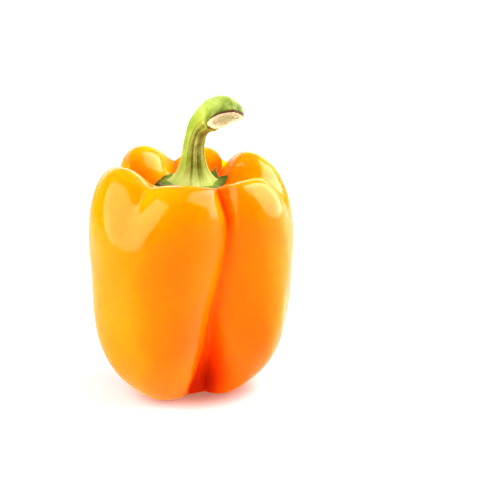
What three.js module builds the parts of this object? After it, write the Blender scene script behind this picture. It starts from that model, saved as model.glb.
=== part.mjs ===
// An orange bell pepper standing on its three lobes, picked with its green stem.
// Two solids: the fruit, grown as one lobed body, and the stem with the calyx that caps the fruit.
// Millimetres, +Z up. The pepper rests on z = 0, and its bounding box is centred on x = 0, y = 0.
import * as THREE from "three";

// Fruit: two meridian outlines from the blossom end to the seat of the calyx, as [radius, height].
// One runs over the crest of a lobe, the other along the bottom of a furrow, step for step.
const SEAT_HEIGHT = 83.6;
const BLOSSOM_HEIGHT = 4.2;
const CREST = [
  [0, BLOSSOM_HEIGHT], [5.5, 3.4], [10.5, 0.3], [17, -1.7], [24.6, 0.9], // blossom end and foot
  [32.6, 7.5], [38.6, 18], [41, 31], [41.8, 46], [42.2, 61], [42.4, 76], // side
  [38.2, 89.5], [29.5, 95.8], [21.5, 92.6], [16.4, 85.6], // shoulder
  [9, SEAT_HEIGHT], [0, SEAT_HEIGHT],
];
const FURROW = [
  [0, BLOSSOM_HEIGHT], [5, 3], [9.5, 1.2], [12.6, -0.5], [12.8, 5],
  [14, 16], [20.4, 28], [26.6, 41], [29, 56], [29, 68], [28.6, 78],
  [26, 88], [26, 95.2], [20.8, 92.6], [15.8, 85.6],
  [9, SEAT_HEIGHT], [0, SEAT_HEIGHT],
];

// Angles in degrees about +Z from +X, with -90 facing the viewer.
// Three furrows part the lobes, and a shallow one splits the shoulder of each lobe in two. Each row
// is one step up the meridian and holds the angles of a main furrow and a shallow one in turn.
const FURROW_PATHS = [
  [-72, -20, 47, 100, 157, 222],
  [-72, -20, 47, 100, 157, 222],
  [-75, -20, 47.3, 100.2, 157.3, 222.5],
  [-57, -18.8, 48, 100.5, 158, 224],
  [-74, -17, 49, 101, 159, 227],
  [-67, -15, 50, 101.5, 160, 230],
  [-60, -13.5, 51.5, 102.3, 161.5, 233],
  [-66, -12.3, 52.5, 102.8, 162.5, 235.5],
  [-68.5, -12, 53, 103, 163, 236],
  [-68, -12, 53, 103, 163, 236],
  [-68, -12, 53, 103, 163, 236],
];
const FURROW_SOFTNESS = { foot: 0.06, shoulder: 0.08, minor: 0.11 };
// How wide the bottom of a main furrow is between the feet, as a share of a lobe.
const FURROW_FLOOR = 0.28;
// Angle, and how square the lobe is there at the foot, half way up and at the shoulder.
const LOBE_FULLNESS = [
  [-95, 2, 2.2, 4], [-52, 4, 1.9, 6], [0, 2.4, 2.6, 2.6], [80, 2.5, 2.5, 2.5],
  [140, 2.5, 2.5, 2.5], [-175, 2.6, 3, 3], [-130, 2, 2.6, 2.6],
];
const BUMP_FULLNESS = 2.2;
const NOTCH_DEPTH = 5.4;
const NOTCH_SHARES = [ // angle, how deep the notch is on the shoulder's side and on its ridge
  [-70, 0.15, 0.15], [-12, 0.75, 0.6], [53, 0.72, 0.72], [103, 1.15, 1.15], [163, 1, 1], [236, 0.85, 0.5],
];
const MINOR_DEPTH = 0.7;
// The bumps of the shoulder: angle, lift of the shoulder, swell at the shoulder, swell at the foot.
const BUMPS = [
  [-182, -1.8, 0.7, 0.1], [-148, 1, 1.4, 0.2], [-98, -2.2, 0, -0.3], [-38, -3.1, 0, -2.6],
  [20, 0.7, -2.8, -2.6], [80, -2.5, -1, 0], [135, -0.7, 1.2, 0],
];
// Low swells and dents that shape the shoulders of the two front lobes: angle, share up the meridian,
// reach in degrees, reach as a share, lift outwards.
const SHOULDER_SWELLS = [
  [-50, 0.6, 16, 0.045, 2.5], [-38, 0.7, 10, 0.08, -1.5], [-56, 0.64, 4, 0.04, 1.2],
  [-57, 0.73, 4, 0.06, -2], [-125, 0.67, 7, 0.05, -0.8], [-127, 0.68, 5, 0.03, 0.8],
];
// The front lobe leans over the furrow on its right by this many degrees, and by more at one share.
const LEAN = { angle: 2.4, more: 2.8, share: 0.6, reach: 0.075, offset: -7, spread: 8.5 };
// Slow swells that keep the sides from being perfectly even: amplitude, turns round, turns up, phase.
const SWELLS = [[0.3, 2, 1.5, 0.6], [0.25, 3, -2, 2.1], [0.2, 5, 2.5, 4]];

// Calyx: seven teeth on a sheet that lies over the seat, and the valleys between them.
const SEAT_GAP = 0.3;
const SHEET_THICKNESS = 1;
const VALLEY_RADIUS = 12.3;
const VALLEYS = [-62, -13, 25, 75, 135, 192, 250];
const TEETH = [ // angle, radius of the tip, lift of the tip off the fruit
  [-86, 14.6, 0.3], [-37, 14.8, 0.5], [6, 14.9, 1.1], [50, 16.2, 4.4],
  [105, 14.8, 0.5], [164, 15.6, 0.4], [221, 14.8, 0.3],
];

// Stem: rings from the flare on the calyx to the cut end, which the B-spline joins.
// Each is centre x, y, height above the seat, lean from level, heading of the lean, radius.
const STEM = [
  [1, 0, 2.6, 0, -45, 9],
  [1.1, 0, 5, 0, -45, 6.6],
  [1.2, 0, 9, 2, -45, 4.9],
  [1.3, 0, 14, 5, -45, 4.1],
  [1.7, -0.3, 18.8, 14, -45, 3.9],
  [2.9, -1.4, 23.6, 33, -45, 4],
  [5.3, -3.4, 27.7, 56, -45, 4.9],
  [8.3, -6.2, 30.9, 80, -47, 6.5],
  [11.1, -9.8, 32.6, 104, -54, 7.4],
  [13.1, -12.6, 32.4, 123, -66, 7.6],
  [13.8, -14.5, 30.7, 137, -76, 6.9],
];
const CUT_OUTLINE = [[0, 0.55], [60, 1], [225, 1.03], [275, 1.08]]; // angle, share of the radius at the cut
const STEM_GROOVES = [-155, -92, -67, -18, 35, 95, 150];
const RIDGE_HEIGHT = { foot: 0.16, end: 0.03 }; // as a share of the radius
const CUT_HOLLOW = 0.8;

// How finely the solids are faceted.
const FRUIT_COLUMNS = 84;
const FRUIT_ROWS = 48;
const STEM_COLUMNS = 48;
const STEM_ROWS = 30;

const { smoothstep, degToRad, radToDeg, euclideanModulo, lerp } = THREE.MathUtils;

// Uniform cubic B-spline through a list of control points, at a share of its way from 0 to 1.
// before and after are the control points that lie beyond its two ends.
function splinePoint(points, share, before, after) {
  const whole = [before, ...points, after];
  const place = Math.min(share, 1 - 1e-9) * (points.length - 1);
  const first = Math.floor(place);
  const f = place - first;
  const weights = [(1 - f) ** 3, 3 * f ** 3 - 6 * f ** 2 + 4, -3 * f ** 3 + 3 * f ** 2 + 3 * f + 1, f ** 3];
  return points[0].map((_, axis) =>
    weights.reduce((sum, weight, k) => sum + (weight * whole[first + k][axis]) / 6, 0));
}

// A meridian outline is mirrored across the axis at both ends, so that it crosses it level.
function meridianPoint(outline, share) {
  const mirrored = ([radius, height]) => [-radius, height];
  return splinePoint(outline, share, mirrored(outline[1]), mirrored(outline.at(-2)));
}

// An open curve starts and ends on its own end points.
function curvePoint(points, share) {
  const beyond = (end, inner) => end.map((value, axis) => 2 * value - inner[axis]);
  return splinePoint(points, share, beyond(points[0], points[1]), beyond(points.at(-1), points.at(-2)));
}

// 0 at each cut, rising evenly to 1 half way to the next one, with the cuts rounded by softness.
// A floor keeps it at 0 for that share of the way.
function ramp(angle, cuts, softness, floor = 0) {
  for (let k = 0; k < cuts.length; k++) {
    const next = k + 1 < cuts.length ? cuts[k + 1] : cuts[0] + 360;
    const share = euclideanModulo(angle - cuts[k], 360) / (next - cuts[k]);
    if (share >= 1) continue;
    const away = Math.max(2 * Math.min(share, 1 - share) - floor, 0) / (1 - floor);
    return (Math.hypot(away, softness) - softness) / (Math.hypot(1, softness) - softness);
  }
  return 0;
}

// 0 at each cut and 1 on the crest between two, like the outline of a round lobe.
function lobe(angle, cuts, softness, fullness, floor = 0) {
  return 1 - (1 - ramp(angle, cuts, softness, floor)) ** fullness;
}

// Eases from value to value round the axis. knots is a list of [angle, ...values], in order.
function around(angle, knots, column) {
  for (let k = 0; k < knots.length; k++) {
    const next = knots[(k + 1) % knots.length];
    const width = euclideanModulo(next[0] - knots[k][0], 360);
    const share = euclideanModulo(angle - knots[k][0], 360) / width;
    if (share < 1) return lerp(knots[k][column], next[column], smoothstep(share, 0, 1));
  }
  return 0;
}

// A point of the fruit's skin: angle about the axis, and share of the way from blossom end to seat.
function fruitPoint(angle, share) {
  const six = curvePoint(FURROW_PATHS, share);
  const main = six.filter((_, k) => k % 2 === 0);
  const softness = lerp(FURROW_SOFTNESS.foot, FURROW_SOFTNESS.shoulder, smoothstep(share, 0.18, 0.4));
  const [foot, side, top] = [1, 2, 3].map((column) => around(angle, LOBE_FULLNESS, column));
  const square = lerp(lerp(foot, side, smoothstep(share, 0.25, 0.5)), top, smoothstep(share, 0.58, 0.7));
  const floor = FURROW_FLOOR * (1 - smoothstep(share, 0.2, 0.42));
  const fullness = lobe(angle, main, softness, square, floor);
  const bump = lobe(angle, six, FURROW_SOFTNESS.minor, BUMP_FULLNESS);

  const crest = meridianPoint(CREST, share);
  const furrow = meridianPoint(FURROW, share);
  const [onSide, onRidge] = [1, 2].map((column) => around(angle, NOTCH_SHARES, column));
  const notch = NOTCH_DEPTH * lerp(onSide, onRidge, smoothstep(share, 0.67, 0.76))
    * smoothstep(share, 0.585, 0.73) * (1 - smoothstep(share, 0.86, 0.95));
  const groove = MINOR_DEPTH * smoothstep(share, 0.1, 0.3) * (1 - smoothstep(share, 0.9, 0.95));
  const depth = (notch + groove) * (1 - bump);
  const ahead = meridianPoint(CREST, Math.min(share + 1e-4, 1));
  const behind = meridianPoint(CREST, Math.max(share - 1e-4, 0));
  const along = new THREE.Vector2(ahead[0] - behind[0], ahead[1] - behind[1]).normalize();

  const below = smoothstep(share, 0.15, 0.35) * (1 - smoothstep(share, 0.75, 0.88));
  const swell = SWELLS.reduce((sum, [size, round, up, phase]) =>
    sum + size * Math.sin(round * degToRad(angle) + 2 * Math.PI * up * share + phase), 0);
  const shaped = SHOULDER_SWELLS.reduce((sum, [at, climb, wide, tall, lift]) => {
    const away = euclideanModulo(angle - at + 180, 360) - 180;
    return sum + lift * Math.exp(-((away / wide) ** 2) - ((share - climb) / tall) ** 2);
  }, 0);
  const shoulder = smoothstep(share, 0.62, 0.78) * (1 - smoothstep(share, 0.84, 0.93));
  const radius = lerp(furrow[0], crest[0], fullness) - along.y * depth + swell * below + shaped
    + around(angle, BUMPS, 2) * smoothstep(share, 0.45, 0.65) * (1 - smoothstep(share, 0.8, 0.92))
    + around(angle, BUMPS, 3) * smoothstep(share, 0.08, 0.25) * (1 - smoothstep(share, 0.3, 0.6));
  const height = lerp(furrow[1], crest[1], fullness) + along.x * depth
    + around(angle, BUMPS, 1) * shoulder;

  const off = euclideanModulo(angle - main[0] + 180, 360) - 180;
  const lean = (LEAN.angle + LEAN.more * Math.exp(-(((share - LEAN.share) / LEAN.reach) ** 2)))
    * Math.exp(-(((off - LEAN.offset) / LEAN.spread) ** 2))
    * smoothstep(share, 0.16, 0.3) * (1 - smoothstep(share, 0.74, 0.84));
  const turned = degToRad(angle + lean);
  // The feet are flat where they stand on the surface.
  return new THREE.Vector3(radius * Math.cos(turned), radius * Math.sin(turned), Math.max(height, 0));
}

// Height of the fruit's top at a radius inside the ring of shoulders, found by halving.
function seatHeight(angle, radius) {
  let outer = 0.8;
  let inner = 1;
  for (let k = 0; k < 30; k++) {
    const middle = (outer + inner) / 2;
    const point = fruitPoint(angle, middle);
    if (Math.hypot(point.x, point.y) > radius) outer = middle;
    else inner = middle;
  }
  return fruitPoint(angle, inner).z;
}

// A closed body from a pole, a stack of rings with as many points each, and a second pole.
function closedBody(firstPole, rings, lastPole) {
  const columns = rings[0].length;
  const points = [firstPole, ...rings.flat(), lastPole];
  const at = (ring, column) => 1 + ring * columns + (column % columns);
  const triangles = [];
  for (let c = 0; c < columns; c++) {
    triangles.push(0, at(0, c + 1), at(0, c));
    for (let r = 0; r + 1 < rings.length; r++) {
      triangles.push(at(r, c), at(r, c + 1), at(r + 1, c + 1));
      triangles.push(at(r, c), at(r + 1, c + 1), at(r + 1, c));
    }
    triangles.push(at(rings.length - 1, c), at(rings.length - 1, c + 1), points.length - 1);
  }
  const geometry = new THREE.BufferGeometry().setFromPoints(points);
  geometry.setIndex(triangles);
  geometry.computeVertexNormals();
  return geometry;
}

const counted = (count, make) => Array.from({ length: count }, (_, k) => make(k));

function fruitGeometry() {
  const rings = counted(FRUIT_ROWS - 1, (row) =>
    counted(FRUIT_COLUMNS, (column) =>
      fruitPoint((360 * column) / FRUIT_COLUMNS - 180, (row + 1) / FRUIT_ROWS)));
  return closedBody(fruitPoint(0, 0), rings, fruitPoint(0, 1));
}

// A point of the toothed margin, seen from above: x, y and how far it lifts off the fruit.
function calyxMargin(angle) {
  const tooth = ramp(angle, VALLEYS, 0.15) ** 1.5;
  const radius = lerp(VALLEY_RADIUS, around(angle, TEETH, 1), tooth);
  const turned = degToRad(angle);
  return { x: radius * Math.cos(turned), y: radius * Math.sin(turned), lift: tooth * around(angle, TEETH, 2) };
}

// A point of the calyx, so many millimetres above the fruit that it lies on.
function onSeat(x, y, above) {
  return new THREE.Vector3(x, y, seatHeight(radToDeg(Math.atan2(y, x)), Math.hypot(x, y)) + above);
}

// A ring of the calyx's underside, at a share of the way from the axis to the margin.
function undersideRing(angles, share) {
  return angles.map((angle) => {
    const { x, y, lift } = calyxMargin(angle);
    return onSeat(x * share, y * share, SEAT_GAP + lift * smoothstep(share, 0.65, 1));
  });
}

// A ring of its upper face, at a share of the way from the margin to the stem's foot.
// The sheet sweeps up into the stem.
function upperRing(angles, foot, share) {
  return angles.map((angle, k) => {
    const { x, y, lift } = calyxMargin(angle);
    const outward = Math.hypot(lerp(x, foot[k].x, share), lerp(y, foot[k].y, share)) / Math.hypot(x, y);
    const point = onSeat(lerp(x, foot[k].x, share), lerp(y, foot[k].y, share), SEAT_GAP + SHEET_THICKNESS);
    point.z += lift * smoothstep(outward, 0.65, 1);
    point.z = lerp(point.z, foot[k].z, share ** 2);
    return point;
  });
}

// The way a ring of the stem faces: up, tipped by lean towards heading, in degrees.
function leaning(lean, heading) {
  const level = Math.sin(degToRad(lean));
  return new THREE.Vector3(
    level * Math.cos(degToRad(heading)), level * Math.sin(degToRad(heading)), Math.cos(degToRad(lean)));
}

// A ring of the stem, at a share of the way from the calyx to the cut.
function stemRing(angles, share) {
  const [x, y, rise, lean, heading, girth] = curvePoint(STEM, share);
  const centre = new THREE.Vector3(x, y, SEAT_HEIGHT + rise);
  const side = leaning(90, heading + 90);
  const across = leaning(lean, heading).cross(side);
  const ridge = lerp(RIDGE_HEIGHT.foot, RIDGE_HEIGHT.end, smoothstep(share, 0.2, 0.85));
  return angles.map((angle) => {
    const ribbed = girth * (1 + ridge * (ramp(angle, STEM_GROOVES, 0.25) - 0.6));
    const radius = ribbed * lerp(1, around(angle, CUT_OUTLINE, 1), smoothstep(share, 0.7, 1));
    const turned = degToRad(angle - 45);
    return centre.clone()
      .addScaledVector(side, radius * Math.cos(turned))
      .addScaledVector(across, radius * Math.sin(turned));
  });
}

function stemGeometry() {
  const angles = counted(STEM_COLUMNS, (column) => (360 * column) / STEM_COLUMNS);
  const stem = counted(STEM_ROWS + 1, (row) => stemRing(angles, row / STEM_ROWS));
  const underside = [0.25, 0.5, 0.7, 0.85, 0.98].map((share) => undersideRing(angles, share));
  const upper = [0, 0.25, 0.5, 0.75].map((share) => upperRing(angles, stem[0], share));
  const bottom = new THREE.Vector3(0, 0, SEAT_HEIGHT + SEAT_GAP);

  // The cut is a shallow dish inside the last ring.
  const [x, y, rise, lean, heading] = STEM.at(-1);
  const middle = new THREE.Vector3(x, y, SEAT_HEIGHT + rise);
  const dished = (point, share) => point.clone().lerp(middle, 1 - share)
    .addScaledVector(leaning(lean, heading), -CUT_HOLLOW * (1 - share ** 2));
  const cut = [0.85, 0.6, 0.3].map((share) => stem.at(-1).map((point) => dished(point, share)));
  return closedBody(bottom, [...underside, ...upper, ...stem, ...cut], dished(middle, 0));
}

const skin = new THREE.MeshStandardMaterial({ color: 0xff9a0a, roughness: 0.2, metalness: 0 });
const green = new THREE.MeshStandardMaterial({ color: 0x8fae3c, roughness: 0.5, metalness: 0 });
const fruit = new THREE.Mesh(fruitGeometry(), skin);
fruit.name = "fruit";
const stem = new THREE.Mesh(stemGeometry(), green);
stem.name = "stem_and_calyx";

const pepper = new THREE.Group();
pepper.add(fruit, stem);
const middle = new THREE.Box3().setFromObject(pepper).getCenter(new THREE.Vector3());
pepper.position.set(-middle.x, -middle.y, 0);

export default pepper;
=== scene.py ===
# %% [markdown]
# # An orange bell pepper
# A bell pepper is a hollow berry with a thin, waxy skin. Three main lobes, each split in two at the
# shoulder, meet in furrows, and a ribbed green stem flares into a toothed calyx in the dip on top.
# The lesson builds two surfaces with numpy, gives each its own finish and lights them like a
# photograph taken on a white table. Everything is in metres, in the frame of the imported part.

# %% Load the frame
import math

import bpy
import numpy as np
from mathutils import Matrix, Vector


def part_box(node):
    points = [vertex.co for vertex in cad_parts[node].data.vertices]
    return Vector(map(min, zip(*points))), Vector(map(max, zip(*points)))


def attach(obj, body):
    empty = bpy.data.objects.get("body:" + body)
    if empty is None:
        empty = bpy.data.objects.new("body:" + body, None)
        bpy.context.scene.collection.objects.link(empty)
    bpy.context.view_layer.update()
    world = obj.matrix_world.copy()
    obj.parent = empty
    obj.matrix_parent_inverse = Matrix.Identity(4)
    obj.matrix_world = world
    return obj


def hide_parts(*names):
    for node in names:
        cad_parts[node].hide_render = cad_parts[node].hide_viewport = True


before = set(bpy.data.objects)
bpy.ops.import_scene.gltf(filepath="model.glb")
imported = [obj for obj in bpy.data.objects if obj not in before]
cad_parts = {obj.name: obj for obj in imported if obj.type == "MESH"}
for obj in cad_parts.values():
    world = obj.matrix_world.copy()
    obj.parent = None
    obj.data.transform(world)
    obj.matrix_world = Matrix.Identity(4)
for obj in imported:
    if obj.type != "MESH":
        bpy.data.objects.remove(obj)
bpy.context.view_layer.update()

# %% [markdown]
# ## Curves and lobes
# A cubic B-spline joins a few given points into a smooth line. It passes near its points rather
# than through them, so it never overshoots. Subdividing a cage by hand could also do it, but
# formulas keep the fine surface on the same form as the part's solids.

# %% Curves near a few points
MM = 0.001


def smoothstep(x, start, end):
    """Rises from 0 at start to 1 at end, level at both: 3s^2 - 2s^3."""
    s = np.clip((x - start) / (end - start), 0, 1)
    return s * s * (3 - 2 * s)


def lerp(a, b, share):
    """The value at a share of the way from a to b."""
    return a + (b - a) * share


def spline(points, share, before, after):
    """Uniform cubic B-spline: each place blends its four nearest control points by cubic weights."""
    whole = np.array([before, *points, after], float)
    place = np.clip(share, 0, 1 - 1e-9) * (len(points) - 1)
    first = np.floor(place).astype(int)
    f = (place - first)[..., None]
    weights = ((1 - f) ** 3, 3 * f**3 - 6 * f**2 + 4, -3 * f**3 + 3 * f**2 + 3 * f + 1, f**3)
    return sum(weight * whole[first + k] for k, weight in enumerate(weights)) / 6


def meridian(outline, share):
    """A B-spline of [radius, height] points, mirrored at both ends so that it crosses the axis level."""
    return spline(outline, share, (-outline[1][0], outline[1][1]), (-outline[-2][0], outline[-2][1]))


def open_curve(points, share):
    """A B-spline that starts and ends on its own end points."""
    p = np.array(points, float)
    return spline(points, share, 2 * p[0] - p[1], 2 * p[-1] - p[-2])


print("a quarter of the way up a smooth step:", round(float(smoothstep(0.25, 0, 1)), 3))

# %% [markdown]
# A pepper repeats itself round its axis, but never evenly. A ramp runs from 0 in a furrow to 1 on the
# ridge between two furrows, and a lobe is that ramp made round. A third tool eases a value from one
# bump to the next. Sines would be shorter, but they can't give lobes of different widths.

# %% Lobes and bumps round an axis
def ramp(angle, cuts, softness, floor=0.0):
    """0 at each cut and 1 half way to the next: a straight rise, rounded near the cut by a hypotenuse.

    A floor keeps it at 0 for that share of the way."""
    value = np.zeros(np.broadcast(angle, cuts[0]).shape)
    for k, cut in enumerate(cuts):
        following = cuts[k + 1] if k + 1 < len(cuts) else cuts[0] + 360
        share = np.mod(angle - cut, 360) / (following - cut)
        away = np.maximum(2 * np.minimum(share, 1 - share) - floor, 0) / (1 - floor)
        rise = (np.hypot(away, softness) - softness) / (np.hypot(1, softness) - softness)
        value = np.where(share < 1, rise, value)
    return value


def lobe(angle, cuts, softness, fullness, floor=0.0):
    """0 at each cut and 1 on the crest, round like a lobe: 1 - (1 - ramp)^fullness."""
    return 1 - np.clip(1 - ramp(angle, cuts, softness, floor), 0, None) ** fullness


def around(angle, knots, column):
    """Eases from knot to knot round the axis by a smoothstep of the angle between them."""
    value = np.zeros(np.shape(angle))
    for k, knot in enumerate(knots):
        following = knots[(k + 1) % len(knots)]
        share = np.mod(angle - knot[0], 360) / ((following[0] - knot[0]) % 360)
        eased = lerp(knot[column], following[column], smoothstep(share, 0, 1))
        value = np.where(share < 1, eased, value)
    return value


print("a round lobe, half way up its side:", round(float(lobe(45.0, (0, 180), 0.05, 2)), 2))

# %% [markdown]
# ## The fruit
# A pepper's skin is one surface of two parameters: the angle round the axis, and the share of the way
# up a meridian from the blossom end to the seat of the stem. Two meridians are drawn, one over the
# crest of a lobe and one along a furrow, and each point of the skin lies between the two. Seven shallow
# bumps round the top and a few low swells then shape the shoulders. A lattice or sculpting could shape
# the lobes too, but here every number says what it does.

# %% Meridians and furrows, in millimetres and degrees
SEAT_HEIGHT = 83.6
BLOSSOM_HEIGHT = 4.2
POLE_DROP = 0.27  # how far the rounded curve passes below its first point
CREST = [
    (0, BLOSSOM_HEIGHT), (5.5, 3.4), (10.5, 0.3), (17, -1.7), (24.6, 0.9),  # blossom end and foot
    (32.6, 7.5), (38.6, 18), (41, 31), (41.8, 46), (42.2, 61), (42.4, 76),  # side
    (38.2, 89.5), (29.5, 95.8), (21.5, 92.6), (16.4, 85.6),  # shoulder
    (9, SEAT_HEIGHT), (0, SEAT_HEIGHT),
]
FURROW = [
    (0, BLOSSOM_HEIGHT), (5, 3), (9.5, 1.2), (12.6, -0.5), (12.8, 5),
    (14, 16), (20.4, 28), (26.6, 41), (29, 56), (29, 68), (28.6, 78),
    (26, 88), (26, 95.2), (20.8, 92.6), (15.8, 85.6),
    (9, SEAT_HEIGHT), (0, SEAT_HEIGHT),
]
FURROW_PATHS = [  # angles of a main and a minor furrow in turn, at equal steps up the meridian
    (-72, -20, 47, 100, 157, 222), (-72, -20, 47, 100, 157, 222), (-75, -20, 47.3, 100.2, 157.3, 222.5),
    (-57, -18.8, 48, 100.5, 158, 224), (-74, -17, 49, 101, 159, 227), (-67, -15, 50, 101.5, 160, 230),
    (-60, -13.5, 51.5, 102.3, 161.5, 233), (-66, -12.3, 52.5, 102.8, 162.5, 235.5),
    (-68.5, -12, 53, 103, 163, 236), (-68, -12, 53, 103, 163, 236), (-68, -12, 53, 103, 163, 236),
]
FURROW_SOFTNESS = {"foot": 0.06, "shoulder": 0.08, "minor": 0.11}
FURROW_FLOOR = 0.28  # how wide the bottom of a main furrow is between the feet, as a share of a lobe
print("points up each meridian:", len(CREST), len(FURROW), "furrows:", len(FURROW_PATHS[0]))

# %% [markdown]
# No two lobes of a real pepper are alike. These tables say how square each lobe is, how deep the
# furrows notch the shoulder, where the bumps of the shoulder stand, and where its skin is a little
# fuller or flatter. Each row is one place on the fruit, so a lobe can be changed on its own.

# %% Lobes, notches, bumps and swells
LOBE_FULLNESS = [  # angle, how square the lobe is at the foot, half way up and at the shoulder
    (-95, 2, 2.2, 4), (-52, 4, 1.9, 6), (0, 2.4, 2.6, 2.6), (80, 2.5, 2.5, 2.5), (140, 2.5, 2.5, 2.5),
    (-175, 2.6, 3, 3), (-130, 2, 2.6, 2.6),
]
BUMP_FULLNESS = 2.2
NOTCH_DEPTH = 5.4
NOTCH_SHARES = [  # angle, how deep the notch is on the shoulder's side and on its ridge
    (-70, 0.15, 0.15), (-12, 0.75, 0.6), (53, 0.72, 0.72),
    (103, 1.15, 1.15), (163, 1, 1), (236, 0.85, 0.5),
]
MINOR_DEPTH = 0.7
BUMPS = [  # angle, lift of the shoulder, swell at the shoulder, swell at the foot
    (-182, -1.8, 0.7, 0.1), (-148, 1, 1.4, 0.2), (-98, -2.2, 0, -0.3), (-38, -3.1, 0, -2.6),
    (20, 0.7, -2.8, -2.6), (80, -2.5, -1, 0), (135, -0.7, 1.2, 0),
]
LEAN = {  # degrees that the front lobe leans over its furrow, and where it does
    "angle": 2.4, "more": 2.8, "share": 0.6, "reach": 0.075, "offset": -7, "spread": 8.5,
}
SHOULDER_SWELLS = [  # angle, share up the meridian, reach in degrees, reach as a share, lift
    (-50, 0.6, 16, 0.045, 2.5), (-38, 0.7, 10, 0.08, -1.5), (-56, 0.64, 4, 0.04, 1.2),
    (-57, 0.73, 4, 0.06, -2), (-125, 0.67, 7, 0.05, -0.8), (-127, 0.68, 5, 0.03, 0.8),
]
# Slow swells, and ripples too fine for the solids: amplitude, turns round, turns up, phase.
SWELLS = [(0.3, 2, 1.5, 0.6), (0.25, 3, -2, 2.1), (0.2, 5, 2.5, 4)]
RIPPLES = [(0.09, 9, 4, 1.1), (0.07, 14, -6, 0.3), (0.05, 21, 9, 2.7)]
print("bumps of the shoulder:", len(BUMPS), "low swells:", len(SHOULDER_SWELLS))

# %% [markdown]
# The furrows swing round as they climb, and between the feet the main ones open to a wedge. On the
# shoulder all six cut notches. Each function answers one question about a point of the skin, and
# takes whole arrays of points at once.

# %% Where the furrows run and how deep they cut
def fruit_furrows(share):
    """The angles of the three main furrows and of all six, which swing round as they climb."""
    six = np.moveaxis(open_curve(FURROW_PATHS, share), -1, 0)
    return six[::2], six


def furrow_floor(share):
    """How wide the bottom of a main furrow is: wide between the feet, and closed half way up."""
    return FURROW_FLOOR * (1 - smoothstep(share, 0.2, 0.42))


def band(share, start, full, leave, gone):
    """0, then 1 from full to leave, then 0 again, eased at both ends."""
    return smoothstep(share, start, full) * (1 - smoothstep(share, leave, gone))


def lobe_fullness(angle, share, main):
    """0 along a main furrow and 1 on a lobe's crest, with its own squareness at each height."""
    softness = lerp(FURROW_SOFTNESS["foot"], FURROW_SOFTNESS["shoulder"], smoothstep(share, 0.18, 0.4))
    foot, side, shoulder = (around(angle, LOBE_FULLNESS, column) for column in (1, 2, 3))
    square = lerp(foot, side, smoothstep(share, 0.25, 0.5))
    square = lerp(square, shoulder, smoothstep(share, 0.58, 0.7))
    return lobe(angle, main, softness, square, furrow_floor(share))


def notch_depth(angle, share):
    """How deep the six furrows cut the shoulder, plus the faint groove that they keep below it."""
    on_side, on_ridge = (around(angle, NOTCH_SHARES, column) for column in (1, 2))
    notch = NOTCH_DEPTH * lerp(on_side, on_ridge, smoothstep(share, 0.67, 0.76))
    return notch * band(share, 0.585, 0.73, 0.86, 0.95) + MINOR_DEPTH * band(share, 0.1, 0.3, 0.9, 0.95)


print("furrows at the foot, degrees:", fruit_furrows(0.0)[1].round(1))

# %% [markdown]
# The rest is added to the radius, or turns the skin sideways: slow waves, the swell of each bump, the
# low swells of the two front shoulders, and the lean of the front lobe over the furrow on its right.
# With that the skin is one formula of two parameters.

# %% The skin as a function of angle and share
def waves(angle, share, rows):
    """A sum of sines that run round and up the fruit."""
    return sum(
        size * np.sin(turns * np.radians(angle) + 2 * np.pi * up * share + phase)
        for size, turns, up, phase in rows
    )


def apart(angle, at):
    """How far one angle is from another the short way round, from -180 to 180."""
    return np.mod(angle - at + 180, 360) - 180


def swelling(angle, share):
    """What is added to the radius: slow waves, the bumps' swell, and the low swells of the front."""
    added = waves(angle, share, SWELLS) * band(share, 0.15, 0.35, 0.75, 0.88)
    added = added + around(angle, BUMPS, 2) * band(share, 0.45, 0.65, 0.8, 0.92)
    added = added + around(angle, BUMPS, 3) * band(share, 0.08, 0.25, 0.3, 0.6)
    for at, climb, wide, tall, lift in SHOULDER_SWELLS:
        added = added + lift * np.exp(-((apart(angle, at) / wide) ** 2) - ((share - climb) / tall) ** 2)
    return added


def lean_angle(angle, share, front_furrow):
    """How far the skin beside the front furrow is turned, so that the lobe hangs over it."""
    lean = LEAN["angle"] + LEAN["more"] * np.exp(-(((share - LEAN["share"]) / LEAN["reach"]) ** 2))
    across = (apart(angle, front_furrow) - LEAN["offset"]) / LEAN["spread"]
    return lean * np.exp(-(across**2)) * band(share, 0.16, 0.3, 0.74, 0.84)


def fruit_surface(angle, share, rippled=False):
    """Skin point at (angle, share): furrow + (crest - furrow) * fullness, less a notch along the normal.

    Ripples are added only for the fine skin."""
    main, six = fruit_furrows(share)
    fullness = lobe_fullness(angle, share, main)[..., None]
    outline = lerp(meridian(FURROW, share), meridian(CREST, share), fullness)
    depth = notch_depth(angle, share) * (1 - lobe(angle, six, FURROW_SOFTNESS["minor"], BUMP_FULLNESS))
    step = 1e-4
    along = meridian(CREST, np.minimum(share + step, 1)) - meridian(CREST, np.maximum(share - step, 0))
    along = along / np.linalg.norm(along, axis=-1, keepdims=True)
    radius = outline[..., 0] - along[..., 1] * depth + swelling(angle, share)
    if rippled:
        radius = radius + waves(angle, share, RIPPLES) * band(share, 0.2, 0.3, 0.8, 0.9)
    height = outline[..., 1] + along[..., 0] * depth
    height = height + around(angle, BUMPS, 1) * band(share, 0.62, 0.78, 0.84, 0.93)
    turned = np.radians(angle + lean_angle(angle, share, main[0]))
    return np.stack([radius * np.cos(turned), radius * np.sin(turned), np.maximum(height, 0)], -1)


print("a point of the front lobe, mm:", fruit_surface(np.array(-95.0), np.array(0.6)).round(1))

# %% [markdown]
# ## From rings to a closed mesh
# Both pieces are a stack of closed rings between two poles, like a globe. The faces come from index
# arithmetic on whole arrays: four corners for each cell of the grid, and a fan of triangles at each
# pole. Values that the finishes need, such as how deep in a furrow a point lies, are kept on the
# points as attributes.

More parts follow.
